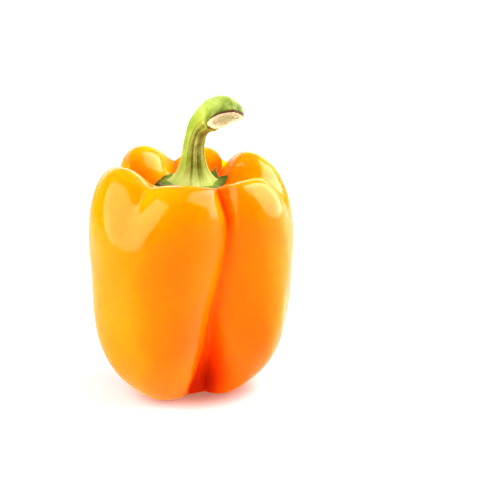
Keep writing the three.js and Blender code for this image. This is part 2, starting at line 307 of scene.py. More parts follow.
# %% A helper that turns rings into an object
def ring_mesh(name, first_pole, rings, last_pole):
    """A closed mesh from rings of shape (rows, columns, 3) in millimetres, and two poles."""
    rows, columns = rings.shape[:2]
    points = np.vstack([first_pole, rings.reshape(-1, 3), last_pole]) * MM
    start = 1 + np.arange(rows)[:, None] * columns
    here = start + np.arange(columns)
    beside = start + np.roll(np.arange(columns), -1)
    quads = np.stack([here[:-1], beside[:-1], beside[1:], here[1:]], -1).reshape(-1, 4)
    bottom = np.stack([np.zeros(columns, int), beside[0], here[0]], -1)
    top = np.stack([here[-1], beside[-1], np.full(columns, len(points) - 1)], -1)
    mesh = bpy.data.meshes.new(name)
    mesh.from_pydata(points.tolist(), [], bottom.tolist() + quads.tolist() + top.tolist())
    mesh.shade_smooth()
    piece = bpy.data.objects.new(name, mesh)
    bpy.context.scene.collection.objects.link(piece)
    print(name, "points:", len(points), "triangles:", 2 * columns * rows)
    return piece


def store(piece, name, first, grid, last):
    """Keeps one value for each point, in the order of ring_mesh, as a float attribute."""
    values = np.concatenate([[first], np.asarray(grid, float).reshape(-1), [last]])
    attribute = piece.data.attributes.new(name, "FLOAT", "POINT")
    attribute.data.foreach_set("value", values)


# %% [markdown]
# The rings crowd together where the skin turns quickly, at the foot and over the shoulder, because
# the meridian's control points are closer there. The part's solids are centred on their bounding
# box, so the fine skin takes the same place by matching the two boxes.

# %% Build the fruit
FRUIT_COLUMNS, FRUIT_ROWS = 480, 200

share_grid, angle_grid = np.meshgrid(
    np.linspace(0, 1, FRUIT_ROWS + 1)[1:-1],
    np.linspace(-180, 180, FRUIT_COLUMNS, endpoint=False),
    indexing="ij",
)
fruit_rings = fruit_surface(angle_grid, share_grid, rippled=True)
low, high = (np.array(corner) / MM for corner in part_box("fruit"))
fruit_low, fruit_high = fruit_rings.min((0, 1)), fruit_rings.max((0, 1))
CENTRE = np.array([*((low + high) / 2 - (fruit_low + fruit_high) / 2)[:2], 0])
print("moved by, mm:", CENTRE.round(3))
print("size, mm:", (fruit_high - fruit_low).round(2), "of the solid:", (high - low).round(2))

fruit = ring_mesh(
    "pepper_fruit",
    CENTRE + (0, 0, BLOSSOM_HEIGHT - POLE_DROP),
    CENTRE + fruit_rings,
    CENTRE + (0, 0, SEAT_HEIGHT),
)
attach(fruit, "root")
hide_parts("fruit")

# %% [markdown]
# The skin's finish needs to know how deep in a furrow a point lies, how far up the fruit it is, and
# where it is painted a deeper colour: patches where the fruit has ripened more, and one spot of
# painted shade beside the stem. Each is one number on every point.

# %% Values that the skin's finish reads
RIPE_AND_SHADE_PATCHES = [  # angle, share up the meridian, width in degrees, height as a share, how deep
    (-92, 0.42, 14, 0.06, 1), (-42, 0.42, 14, 0.08, 1), (-80, 0.3, 8, 0.08, 0.7),
    # the last row, at 53 degrees, is painted shade beside the stem, not a ripe patch
    (160, 0.4, 16, 0.07, 0.8), (70, 0.45, 15, 0.07, 0.8), (53, 0.75, 9, 0.06, 2),
]
FURROW_EDGE = (0.1, 1.6)  # softness and fullness of the lobes between coloured furrows
MINOR_COLOUR = 0.45  # how strongly a minor furrow is coloured, as a share of a main one
main, six = fruit_furrows(share_grid)
furrow_grid = 1 - lobe(angle_grid, main, *FURROW_EDGE, furrow_floor(share_grid))
minor_grid = 1 - lobe(angle_grid, six, *FURROW_EDGE)
# ripe patches, and one spot of painted shade beside the stem
ripe_and_shade_grid = sum(
    deep * np.exp(-((apart(angle_grid, at) / wide) ** 2) - ((share_grid - climb) / tall) ** 2)
    for at, climb, wide, tall, deep in RIPE_AND_SHADE_PATCHES
)
store(fruit, "furrow", 0, np.maximum(furrow_grid, MINOR_COLOUR * minor_grid), 0)
store(fruit, "climb", 0, share_grid, 1)
store(fruit, "ripe_and_shade", 0, ripe_and_shade_grid, 0)
print("ripe patches:", len(RIPE_AND_SHADE_PATCHES), "deepest furrow value:", round(float(furrow_grid.max()), 2))

# %% [markdown]
# ## Stem and calyx
# The stem is one piece with the calyx, a thin green sheet with pointed teeth that lies in the dip on
# top of the fruit. The sheet sweeps up into the stem, which is ribbed, leans over and thickens
# towards the cut. Each ring of the stem has a centre, a lean, a heading and a radius, all joined by
# one B-spline. A curve with a bevel would pinch on the inside of the bend; rings that each have
# their own lean don't.

# %% The form of the stem and calyx
SEAT_GAP = 0.3
SHEET_THICKNESS = 1
RIM_BULGE = 0.22
UNDERSIDE_REACH = 0.985  # how near the underside comes to the rim, as a share
TIP_LIFT_FROM = 0.65  # the share of the way out from which a tooth lifts
VALLEY_RADIUS = 12.3
TOOTH_SOFTNESS, TOOTH_POINT = 0.15, 1.5  # how round the valleys are, how pointed the teeth
VALLEYS = (-62, -13, 25, 75, 135, 192, 250)
TEETH = [  # angle, radius of the tip, lift of the tip off the fruit
    (-86, 14.6, 0.3), (-37, 14.8, 0.5), (6, 14.9, 1.1), (50, 16.2, 4.4),
    (105, 14.8, 0.5), (164, 15.6, 0.4), (221, 14.8, 0.3),
]
STEM = [  # centre x, y, height above the seat, lean from level, heading of the lean, radius
    (1, 0, 2.6, 0, -45, 9),
    (1.1, 0, 5, 0, -45, 6.6),
    (1.2, 0, 9, 2, -45, 4.9),
    (1.3, 0, 14, 5, -45, 4.1),
    (1.7, -0.3, 18.8, 14, -45, 3.9),
    (2.9, -1.4, 23.6, 33, -45, 4),
    (5.3, -3.4, 27.7, 56, -45, 4.9),
    (8.3, -6.2, 30.9, 80, -47, 6.5),
    (11.1, -9.8, 32.6, 104, -54, 7.4),
    (13.1, -12.6, 32.4, 123, -66, 7.6),
    (13.8, -14.5, 30.7, 137, -76, 6.9),
]
CUT_OUTLINE = [(0, 0.55), (60, 1), (225, 1.03), (275, 1.08)]  # angle, share of the radius at the cut
STEM_GROOVES = (-155, -92, -67, -18, 35, 95, 150)
# painted shade: the grooves that face the front and right, away from the left light, are painted darkest
GROOVE_SHADE = [  # angle, how olive the groove is there
    (-155, 0.1), (-112, 0.3), (-92, 1), (-67, 1.3), (-18, 0.8), (95, 0.7),
]
# painted shade: the front side of the stem, which faces the dark room, is painted olive all over
PAINTED_SHADE_FRONT_BAND = {"middle": 281, "reach": 22, "darkness": 0.34}  # degrees; the side that is olive all over
RING_TURN = 45  # degrees from the stem's own side to where a ring's angle is 0
RIDGE_HEIGHT = {"foot": 0.16, "end": 0.03}  # as a share of the radius
RIDGE_SOFTNESS, RIDGE_LEVEL = 0.25, 0.6  # how round the grooves are, and where a ridge adds 0
CUT_HOLLOW = 0.8
PITH_RISE, PITH_REACH = 0.35, 0.32  # the spongy middle stands up again by this much, this far out
# Waves, as for the fruit: a ragged margin, veins, fine ribs, knobs and a rough cut.
RAGGED = [(0.16, 23, 0, 0.5), (0.12, 37, 0, 2.2), (0.09, 61, 0, 1.3)]
VEINS = [(0.09, 26, 0, 0.4), (0.07, 41, 0, 2)]
RIBS = [(0.05, 17, 0.4, 0.3), (0.04, 29, -0.3, 1.9)]
KNOBS = [(0.1, 3, 3.2, 1), (0.08, 5, -4.1, 0)]
ROUGH = [(0.05, 19, 1.2, 0), (0.04, 31, -2, 1)]
print("teeth of the calyx:", len(TEETH), "rings that guide the stem:", len(STEM))

# %% [markdown]
# The calyx lies on the fruit, so its height comes from the fruit's own formula: a piece of the
# meridian is halved again and again until the skin there has the wanted radius. The stem's rings
# stand across its own spline. Projecting a flat sheet with a modifier would stretch the teeth.

# %% The calyx and the stem as functions
INSIDE_SHOULDERS = 0.8  # the share up the meridian from which the skin only runs inwards
HALVINGS = 24


def seat_height(angle, radius):
    """Height of the fruit's top at a radius inside the shoulders, found by halving the meridian."""
    outer = np.full(np.broadcast(angle, radius).shape, INSIDE_SHOULDERS)
    inner = np.ones_like(outer)
    for _ in range(HALVINGS):
        middle = (outer + inner) / 2
        point = fruit_surface(angle, middle)
        beyond = np.hypot(point[..., 0], point[..., 1]) > radius
        outer = np.where(beyond, middle, outer)
        inner = np.where(beyond, inner, middle)
    return fruit_surface(angle, inner)[..., 2]


def on_seat(x, y, above):
    """A point so many millimetres above the fruit, at x, y."""
    return np.stack([x, y, seat_height(np.degrees(np.arctan2(y, x)), np.hypot(x, y)) + above], -1)


def calyx_margin(angle):
    """Margin of the calyx from above, x, y and lift: valleys and pointed teeth, with a ragged edge."""
    tooth = ramp(angle, VALLEYS, TOOTH_SOFTNESS) ** TOOTH_POINT
    ragged = waves(angle, 0 * angle, RAGGED)
    radius = lerp(VALLEY_RADIUS, around(angle, TEETH, 1), tooth) + ragged
    turned = np.radians(angle)
    return radius * np.cos(turned), radius * np.sin(turned), tooth * around(angle, TEETH, 2)


def direction(lean, heading):
    """The unit vector at a lean from upright, towards a heading, both in degrees."""
    lean, heading = np.radians(lean), np.radians(heading)
    return np.stack([np.sin(lean) * np.cos(heading), np.sin(lean) * np.sin(heading), np.cos(lean)], -1)


def stem_rings(angle, share):
    """Rings round the stem's spline. Each point is centre + radius * (side * cos + across * sin)."""
    values = open_curve(STEM, share)
    heading = np.radians(values[..., 4])
    side = np.stack([-np.sin(heading), np.cos(heading), 0 * heading], -1)
    across = np.cross(direction(values[..., 3], values[..., 4]), side)
    ridge = lerp(RIDGE_HEIGHT["foot"], RIDGE_HEIGHT["end"], smoothstep(share, 0.2, 0.85))
    radius = values[..., 5] * (1 + ridge * (ramp(angle, STEM_GROOVES, RIDGE_SOFTNESS) - RIDGE_LEVEL))
    radius = radius * lerp(1, around(angle, CUT_OUTLINE, 1), smoothstep(share, 0.7, 1))
    radius = radius + waves(angle, share, RIBS)
    radius = radius + waves(angle, share, KNOBS) * smoothstep(share, 0.3, 0.7)
    turned = np.radians(angle - RING_TURN)
    ring = side * (radius * np.cos(turned))[..., None] + across * (radius * np.sin(turned))[..., None]
    return values[..., :3] + (0, 0, SEAT_HEIGHT) + ring


print("the seat 9 mm from the axis, mm:", round(float(seat_height(np.array(0.0), np.array(9.0))), 2))

# %% [markdown]
# Five stacks of rings make the closed surface: the underside of the sheet, its rim, its upper face,
# the stem, and the shallow dish of the cut.

# %% The two faces of the sheet and the stem
STEM_COLUMNS = 240
UNDERSIDE, RIM, UPPER, SHAFT, CUT = 24, 6, 60, 230, 60


def grid(shares):
    """Angles and shares as two arrays of rings."""
    return np.meshgrid(np.linspace(0, 360, STEM_COLUMNS, endpoint=False), shares)


angle, share = grid(np.linspace(0, 1, SHAFT))
shaft = stem_rings(angle, share)
foot = shaft[0]

angle, share = grid(np.linspace(0, UNDERSIDE_REACH, UNDERSIDE + 1)[1:])
x, y, lift = calyx_margin(angle)
underside = on_seat(x * share, y * share, SEAT_GAP + lift * smoothstep(share, TIP_LIFT_FROM, 1))

angle, share = grid(np.linspace(0, 1, UPPER + 1)[:-1])
x, y, lift = calyx_margin(angle)
sheet_x, sheet_y = lerp(x, foot[:, 0], share), lerp(y, foot[:, 1], share)
outward = np.hypot(sheet_x, sheet_y) / np.hypot(x, y)
raised = SEAT_GAP + SHEET_THICKNESS + lift * smoothstep(outward, TIP_LIFT_FROM, 1)
upper = on_seat(sheet_x, sheet_y, raised)
upper[..., 2] = lerp(upper[..., 2], foot[:, 2], share**2)
upper[..., 2] += waves(angle, share, VEINS) * np.sin(np.pi * share) ** 2

print("rings of the sheet:", len(underside) + len(upper), "of the stem:", len(shaft))

# %% [markdown]
# A half circle of points rounds the rim between the two faces of the sheet. The cut is a shallow dish
# in the plane of the last ring, and its spongy middle stands up again a little.

# %% The rim, the cut and the whole mesh
turn = np.linspace(0, np.pi, RIM + 2)[1:-1, None]
middle_of_rim = (underside[-1] + upper[0]) / 2
half = (underside[-1] - upper[0]) / 2
outwards = np.concatenate([underside[-1][:, :2], np.zeros((STEM_COLUMNS, 1))], -1)
outwards = outwards / np.linalg.norm(outwards, axis=-1, keepdims=True)
rim = middle_of_rim + half * np.cos(turn)[..., None] + outwards * RIM_BULGE * np.sin(turn)[..., None]

end_x, end_y, end_z, end_lean, end_heading = STEM[-1][:5]
end = np.array([end_x, end_y, SEAT_HEIGHT + end_z])
end_facing = direction(end_lean, end_heading)
angle, share = grid(np.linspace(1, 0, CUT + 1)[1:-1])
dish = CUT_HOLLOW * (1 - share**2) * smoothstep(1 - share, 0, 0.08)
dish = dish - PITH_RISE * np.exp(-((share / PITH_REACH) ** 2))
dish = dish + waves(angle, share, ROUGH) * smoothstep(share, 0.2, 0.9)
cut = lerp(end, shaft[-1], share[..., None]) - end_facing * dish[..., None]

rings = np.concatenate([underside, rim, upper, shaft, cut])
stem = ring_mesh(
    "pepper_stem",
    CENTRE + (0, 0, SEAT_HEIGHT + SEAT_GAP),
    CENTRE + rings,
    CENTRE + end - end_facing * (CUT_HOLLOW - PITH_RISE),
)

# %% [markdown]
# The cut has a finish of its own, so its faces, which come last in the mesh, get the second one.
# The finishes read five numbers on each point: how far out on the calyx it is, how far along
# the stem, how far from the middle of the cut, how much painted shade its groove or the front side
# gets, and how near the upper side. The grain is a vector that follows the stem round its bend, for
# streaks that run along it.

# %% Values that the stem's finishes read
sheet_rows = UNDERSIDE + RIM
columns = np.linspace(0, 360, STEM_COLUMNS, endpoint=False)
sheet = np.concatenate([np.ones(sheet_rows), np.linspace(1, 0, UPPER), np.zeros(SHAFT + CUT - 1)])
along = np.concatenate([np.zeros(sheet_rows + UPPER), np.linspace(0, 1, SHAFT), np.ones(CUT - 1)])
radial = np.concatenate([np.ones(sheet_rows + UPPER + SHAFT), np.linspace(1, 0, CUT + 1)[1:-1]])
full = np.ones((len(rings), STEM_COLUMNS))
# painted shade in the grooves and on the front side of the stem
groove_shade = (1 - ramp(columns, STEM_GROOVES, 0.1)) ** 1.6 * around(columns, GROOVE_SHADE, 1)
front_shade = np.exp(-(((columns - PAINTED_SHADE_FRONT_BAND["middle"]) / PAINTED_SHADE_FRONT_BAND["reach"]) ** 2))
groove_shade = np.maximum(groove_shade, PAINTED_SHADE_FRONT_BAND["darkness"] * front_shade) * full
upper_side = np.sin(np.radians(columns - RING_TURN)) * full
store(stem, "sheet", 1, sheet[:, None] * full, 0)
store(stem, "along", 0, along[:, None] * full, 1)
store(stem, "radial", 1, radial[:, None] * full, 0)
store(stem, "groove_shade", 0, groove_shade, 0)
store(stem, "upper", 0, upper_side, 0)
grain = np.zeros((len(rings) * STEM_COLUMNS + 2, 3))
grain[1:-1, 0] = (np.cos(np.radians(columns)) * full).reshape(-1)
grain[1:-1, 1] = (np.sin(np.radians(columns)) * full).reshape(-1)
grain[1:-1, 2] = ((along - 0.25 * sheet)[:, None] * full).reshape(-1)
stem.data.attributes.new("grain", "FLOAT_VECTOR", "POINT").data.foreach_set("vector", grain.reshape(-1))
cut_faces = STEM_COLUMNS * (len(rings) - CUT + 1)
material_index = np.zeros(len(stem.data.polygons), np.int32)
material_index[cut_faces:] = 1
stem.data.polygons.foreach_set("material_index", material_index)
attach(stem, "root")
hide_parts("stem_and_calyx")
print("cut faces:", int(material_index.sum()))

# %% [markdown]
# ## Finishes
# Two effects turn up again and again: a cloudy change of colour, and fine streaks. Each is a node
# group, built once, that takes coordinates and sizes and gives back a value. The shader itself stays
# in the material, with its constant values typed on its own sockets. Painting the colours by hand
# would work too, but a formula can be made finer without a bigger picture.

# %% Helpers for nodes
def linear(red, green, blue):
    """A colour read off a picture, 0 to 255, as the linear light that a shader works with."""
    levels = np.array([red, green, blue]) / 255
    light = np.where(levels <= 0.04045, levels / 12.92, ((levels + 0.055) / 1.055) ** 2.4)
    return (*light.tolist(), 1)


def add(tree, kind, **settings):
    """A new node with its properties set."""
    made = tree.nodes.new(kind)
    for name, value in settings.items():
        setattr(made, name, value)
    return made


def plug(tree, source, target):
    """Links an output to an input, or types a plain value on the input."""
    if isinstance(source, bpy.types.NodeSocket):
        tree.links.new(source, target)
    else:
        target.default_value = source
    return target


def math_node(tree, operation, first, second=0.0, clamp=False):
    """One step of arithmetic on values."""
    made = add(tree, "ShaderNodeMath", operation=operation, use_clamp=clamp)
    plug(tree, first, made.inputs[0])
    plug(tree, second, made.inputs[1])
    return made.outputs[0]


def ranged(tree, value, low, high, to_low=0.0, to_high=1.0):
    """Moves a value from one range to another, smoothly at both ends."""
    made = add(tree, "ShaderNodeMapRange", interpolation_type="SMOOTHSTEP")
    for socket, number in zip(made.inputs, (value, low, high, to_low, to_high)):
        plug(tree, number, socket)
    return made.outputs[0]


def blended(tree, factor, first, second):
    """Mixes two colours by a factor."""
    made = add(tree, "ShaderNodeMix", data_type="RGBA")
    plug(tree, factor, made.inputs[0])
    plug(tree, first, made.inputs[6])
    plug(tree, second, made.inputs[7])
    return made.outputs[2]


def attribute(tree, name):
    """The node that reads one of the piece's own attributes."""
    return add(tree, "ShaderNodeAttribute", attribute_name=name)


print("middle grey as linear light:", round(linear(128, 128, 128)[0], 3))

# %% [markdown]
# A group's sockets are made on its interface, each with a name, a type and a default. Every material
# that uses the group then gets a node of its own, with its own values.

# %% Helpers for shader groups
def new_group(name, inputs, outputs):
    """An empty shader group with named sockets: name to type and default."""
    group = bpy.data.node_groups.new(name, "ShaderNodeTree")
    for socket, (kind, default) in inputs.items():
        made = group.interface.new_socket(socket, in_out="INPUT", socket_type=kind)
        if default is not None:
            made.default_value = default
    for socket in outputs:
        group.interface.new_socket(socket, in_out="OUTPUT", socket_type="NodeSocketFloat")
    return group, add(group, "NodeGroupInput"), add(group, "NodeGroupOutput")


def use_group(tree, group, **values):
    """A copy of a group in a material, with its inputs typed or linked by name."""
    made = add(tree, "ShaderNodeGroup", node_tree=group)
    for name, value in values.items():
        plug(tree, value, made.inputs[name])
    return made.outputs[0]


FLOAT, VECTOR = "NodeSocketFloat", "NodeSocketVector"
print("socket types:", FLOAT, VECTOR)

# %% [markdown]
# The cloud is a noise pushed apart from its middle value. The streaks are a noise whose coordinates are
# stretched, so that it changes quickly across the grain and slowly along it.

# %% Two shared effects
mottle, m_in, m_out = new_group(
    "mottle", {"Where": (VECTOR, None), "Scale": (FLOAT, 40.0), "Contrast": (FLOAT, 1.0)}, ["Cloud"]
)
noise = add(mottle, "ShaderNodeTexNoise")
noise.inputs["Detail"].default_value = 3
noise.inputs["Roughness"].default_value = 0.55
plug(mottle, m_in.outputs["Where"], noise.inputs["Vector"])
plug(mottle, m_in.outputs["Scale"], noise.inputs["Scale"])
spread = math_node(mottle, "SUBTRACT", noise.outputs[0], 0.5)
spread = math_node(mottle, "MULTIPLY", spread, m_in.outputs["Contrast"])
plug(mottle, math_node(mottle, "ADD", spread, 0.5, clamp=True), m_out.inputs["Cloud"])

streaks, s_in, s_out = new_group(
    "streaks", {"Grain": (VECTOR, None), "Fineness": (FLOAT, 8.0), "Length": (FLOAT, 4.0)}, ["Streak"]
)
stretch = add(streaks, "ShaderNodeVectorMath", operation="MULTIPLY")
sizes = add(streaks, "ShaderNodeCombineXYZ")
for axis, socket in enumerate(("Fineness", "Fineness", "Length")):
    plug(streaks, s_in.outputs[socket], sizes.inputs[axis])
plug(streaks, s_in.outputs["Grain"], stretch.inputs[0])
plug(streaks, sizes.outputs[0], stretch.inputs[1])
fibre = add(streaks, "ShaderNodeTexNoise")
fibre.inputs["Scale"].default_value = 1
fibre.inputs["Detail"].default_value = 4
plug(streaks, stretch.outputs[0], fibre.inputs["Vector"])
plug(streaks, ranged(streaks, fibre.outputs[0], 0.3, 0.7), s_out.inputs["Streak"])
print("shared effects:", mottle.name, streaks.name)

# %% [markdown]
# Each material starts from the same two steps: a Principled shader, and a bump for its fine relief.

# %% Helpers for materials
def new_material(name, surface_colour):
    """A material with one Principled shader, which also shows its colour in the viewport."""
    material = bpy.data.materials.new(name)
    material.use_nodes = True
    material.diffuse_color = surface_colour
    shader = material.node_tree.nodes["Principled BSDF"]
    return material, material.node_tree, shader


def relief(tree, shader, height, strength, distance):
    """Bump from a height that changes over the surface."""
    made = add(tree, "ShaderNodeBump")
    made.inputs["Strength"].default_value = strength
    made.inputs["Distance"].default_value = distance
    plug(tree, height, made.inputs["Height"])
    plug(tree, made.outputs[0], shader.inputs["Normal"])


print("materials so far:", len(bpy.data.materials))

# %% [markdown]
# The skin is waxy and smooth: a sharp reflection over a strongly coloured flesh that lets red light
# travel further than the rest. Subsurface scattering gives the warm glow in the furrows. The colour is
# clouded and deeper where the fruit has ripened more. The rest is painted light and shade: the
# shoulders are painted yellower, like tops lit from above; the furrows are painted redder, partly the
# fruit's own deeper colour there and partly painted shade; the notches of the shoulder and one spot
# beside the stem are darkened with painted shade; and the foot of the front furrow, where it meets the
# table, is painted deep red as shade. A pepper's wax reflects less than glass, so the index of
# refraction is low. Pores under a tenth of a millimetre only just break it up.

# %% Skin
PAINTED_LIGHT_YELLOW = linear(255, 124, 0)
ORANGE = linear(255, 108, 0)
RED_ORANGE = linear(255, 68, 0)
PAINTED_SHADE_RED = linear(205, 30, 0)
CLOUDY, RIPE_AND_SHADE = 0.35, 0.45  # how much of the redder orange the clouds and the ripe patches add

skin, tree, shader = new_material("pepper_skin", ORANGE)
where = add(tree, "ShaderNodeTexCoord").outputs["Object"]
cloud = use_group(tree, mottle, Where=where, Scale=32.0, Contrast=1.6)
furrow = attribute(tree, "furrow").outputs["Fac"]
climb = attribute(tree, "climb").outputs["Fac"]
ripe_and_shade = attribute(tree, "ripe_and_shade").outputs["Fac"]
# painted light: the shoulders are painted yellower, like tops lit from above
colour = blended(tree, ranged(tree, climb, 0.6, 0.78), ORANGE, PAINTED_LIGHT_YELLOW)
colour = blended(tree, math_node(tree, "MULTIPLY", cloud, CLOUDY), colour, RED_ORANGE)
narrow, wide = math_node(tree, "POWER", furrow, 4), math_node(tree, "POWER", furrow, 2)
# partly the fruit's own deeper colour in its furrows, partly painted shade: the lower furrows are
# painted redder
furrow_tint_and_shade = math_node(tree, "MULTIPLY", narrow, ranged(tree, climb, 0.3, 0.5, 0.8, 0.1))
# painted shade: the notches at the top of the shoulder are painted redder
painted_notch_shade = math_node(tree, "MULTIPLY", wide, ranged(tree, climb, 0.66, 0.74, 0, 0.9))
# painted shade: the deepest part of the furrows near the foot is painted deep red
deepest = ranged(tree, furrow, 0.6, 1)
painted_shade_at_foot = math_node(tree, "MULTIPLY", deepest, ranged(tree, climb, 0.38, 0.24))
colour = blended(tree, furrow_tint_and_shade, colour, RED_ORANGE)
colour = blended(tree, painted_notch_shade, colour, RED_ORANGE)
# ripe patches, and one spot of painted shade beside the stem
colour = blended(tree, math_node(tree, "MULTIPLY", ripe_and_shade, RIPE_AND_SHADE), colour, RED_ORANGE)
colour = blended(tree, painted_shade_at_foot, colour, PAINTED_SHADE_RED)
plug(tree, colour, shader.inputs["Base Color"])
wax = use_group(tree, mottle, Where=where, Scale=90.0, Contrast=1.0)
plug(tree, ranged(tree, wax, 0.2, 0.8, 0.05, 0.09), shader.inputs["Roughness"])
shader.inputs["IOR"].default_value = 1.235
shader.inputs["Specular Tint"].default_value = (1, 0.85, 0.5, 1)
shader.inputs["Subsurface Weight"].default_value = 1
shader.inputs["Subsurface Radius"].default_value = (1, 0.3, 0.05)
shader.inputs["Subsurface Scale"].default_value = 0.012
pores = use_group(tree, mottle, Where=where, Scale=1500.0, Contrast=1.0)
relief(tree, shader, pores, 0.05, 0.0001)
fruit.data.materials.append(skin)
print("finish:", skin.name)

# %% [markdown]
# The stem is dull and fibrous. It is a yellow green, paler at its foot, with fine streaks that run
# along it whatever way it bends, because the noise reads coordinates that follow the stem. Its grooves
# and its front side are painted olive as shade, and the thick end gets mottled painted shade. The
# calyx is a darker green, browner in patches.

# %% Stem
RIDGE = linear(98, 118, 28)
FOOT = linear(132, 148, 74)
KNOB = linear(118, 132, 40)
PALE = linear(168, 178, 104)
OLIVE = linear(62, 64, 0)
STREAK = linear(96, 116, 20)
SHADED = linear(56, 72, 10)
CALYX = linear(74, 104, 10)
CALYX_EDGE = linear(22, 66, 18)
DRY = linear(70, 44, 10)
BROWN = linear(52, 30, 12)

green, tree, shader = new_material("pepper_stem_green", RIDGE)
grain = attribute(tree, "grain").outputs["Vector"]
where = add(tree, "ShaderNodeTexCoord").outputs["Object"]
along = attribute(tree, "along").outputs["Fac"]
groove_shade = attribute(tree, "groove_shade").outputs["Fac"]
sheet = attribute(tree, "sheet").outputs["Fac"]
upper = attribute(tree, "upper").outputs["Fac"]
streak = use_group(tree, streaks, Grain=grain, Fineness=5.5, Length=5.0)
hair = use_group(tree, streaks, Grain=grain, Fineness=16.0, Length=7.0)
cloud = use_group(tree, mottle, Where=where, Scale=260.0, Contrast=2.4)
patch = use_group(tree, mottle, Where=where, Scale=120.0, Contrast=3.0)
colour = blended(tree, ranged(tree, along, 0.45, 0.8), RIDGE, KNOB)
colour = blended(tree, ranged(tree, along, 0.2, 0.04), colour, FOOT)
# painted shade: olive in the grooves and on the front side
painted_groove_shade = math_node(tree, "MULTIPLY", ranged(tree, groove_shade, 0.06, 0.45), ranged(tree, along, 0.9, 0.5))
painted_groove_shade = math_node(tree, "MULTIPLY", painted_groove_shade, ranged(tree, along, 0.03, 0.25))
colour = blended(tree, math_node(tree, "MULTIPLY", painted_groove_shade, 0.95), colour, OLIVE)
colour = blended(tree, math_node(tree, "MULTIPLY", streak, 0.25), colour, STREAK)
pale = math_node(tree, "MULTIPLY", math_node(tree, "MULTIPLY", cloud, patch), 0.6)
colour = blended(tree, pale, colour, PALE)
# painted shade: the thick end near the cut is painted darker, in patches
painted_shade_near_cut = ranged(tree, along, 0.78, 0.96)
painted_shade_near_cut = math_node(tree, "MULTIPLY", painted_shade_near_cut, ranged(tree, patch, 0.2, 0.8, 1, 0.45))
colour = blended(tree, painted_shade_near_cut, colour, SHADED)
rim_line = math_node(tree, "MULTIPLY", ranged(tree, along, 0.965, 0.99), ranged(tree, upper, 0.0, 0.4))
colour = blended(tree, rim_line, colour, BROWN)
edge_of_sheet = math_node(tree, "ADD", sheet, math_node(tree, "MULTIPLY", cloud, 0.12))
on_sheet = ranged(tree, edge_of_sheet, 0.08, 0.25)
leaf = blended(tree, ranged(tree, edge_of_sheet, 0.45, 0.85), CALYX, CALYX_EDGE)
leaf = blended(tree, math_node(tree, "MULTIPLY", patch, 0.6), leaf, DRY)
leaf = blended(tree, math_node(tree, "MULTIPLY", cloud, 0.35), leaf, RIDGE)
colour = blended(tree, on_sheet, colour, leaf)
plug(tree, colour, shader.inputs["Base Color"])
plug(tree, ranged(tree, streak, 0, 1, 0.42, 0.6), shader.inputs["Roughness"])
shader.inputs["IOR"].default_value = 1.2
shader.inputs["Specular Tint"].default_value = (1, 1, 0.4, 1)
shader.inputs["Subsurface Weight"].default_value = 0.15
shader.inputs["Subsurface Radius"].default_value = (0.7, 1, 0.2)
shader.inputs["Subsurface Scale"].default_value = 0.002
fibres = math_node(tree, "ADD", streak, math_node(tree, "MULTIPLY", hair, 0.5))
relief(tree, shader, fibres, 0.5, 0.0003)
stem.data.materials.append(green)
print("finish:", green.name)

# %% [markdown]
# The cut is pale and moist: cream round the edge, with a ring of green vessels two thirds of the way
# out and a greyer, spongy pith in the middle. A brown line has dried on the upper side of its rim.

# %% Cut end
CREAM = linear(202, 218, 204)
PITH = linear(132, 154, 126)
VESSELS = linear(66, 80, 24)
MOIST = linear(224, 236, 226)

cut_end, tree, shader = new_material("pepper_stem_cut", CREAM)
grain = attribute(tree, "grain").outputs["Vector"]
where = add(tree, "ShaderNodeTexCoord").outputs["Object"]
radial = attribute(tree, "radial").outputs["Fac"]
upper = attribute(tree, "upper").outputs["Fac"]
cloud = use_group(tree, mottle, Where=where, Scale=700.0, Contrast=2.6)
fibres = use_group(tree, mottle, Where=where, Scale=1500.0, Contrast=3.0)
dashes = use_group(tree, streaks, Grain=grain, Fineness=9.0, Length=1.0)
colour = blended(tree, ranged(tree, radial, 0.62, 0.4), CREAM, PITH)
ring = math_node(tree, "MULTIPLY", ranged(tree, radial, 0.5, 0.62), ranged(tree, radial, 0.82, 0.7))
colour = blended(tree, math_node(tree, "MULTIPLY", ring, dashes), colour, VESSELS)
colour = blended(tree, math_node(tree, "MULTIPLY", cloud, 0.35), colour, MOIST)
inner_fibres = math_node(tree, "MULTIPLY", fibres, ranged(tree, radial, 0.75, 0.55, 0, 0.5))
colour = blended(tree, inner_fibres, colour, VESSELS)
at_edge = ranged(tree, radial, 0.78, 0.93)
dried = math_node(tree, "MULTIPLY", at_edge, ranged(tree, upper, 0.2, 0.7, 0.08, 1))
colour = blended(tree, dried, colour, BROWN)
plug(tree, colour, shader.inputs["Base Color"])
plug(tree, ranged(tree, cloud, 0, 1, 0.45, 0.65), shader.inputs["Roughness"])
relief(tree, shader, cloud, 0.5, 0.0005)
stem.data.materials.append(cut_end)
print("finish:", cut_end.name)

# %% [markdown]
# ## Table, light and camera
# The pepper stands on a white table with two large softboxes, one on its left and a little in front,
# one on its right and a little behind, and a white wall far behind it. The room in front is dark,
# which keeps the orange deep: a glossy thing shows what is round it. The camera has a long lens,
# 20 degrees above the table, and is aimed beside the pepper, which therefore stands left of centre.
#
# The table is matt paper that also glows. The glow stands for the light of a whole white room, so the
# paper is white as it is in the picture, and it warms to pink under the pepper, where the fruit's own
# colour falls on it: painted light. The paper is painted darker right under the pepper, a painted
# contact shadow, and the glow that the camera sees is weaker near the pepper and on its right, which
# paints a soft shadow round it. For light that doesn't go to the camera the glow is stronger in front
# of the pepper, which fills its lower half.

# %% Table
REACH = 6
corners = [(-REACH, -REACH, 0), (REACH, -REACH, 0), (REACH, REACH, 0), (-REACH, REACH, 0)]
floor_mesh = bpy.data.meshes.new("table")
floor_mesh.from_pydata(corners, [], [(0, 1, 2, 3)])
floor = bpy.data.objects.new("table", floor_mesh)
bpy.context.scene.collection.objects.link(floor)

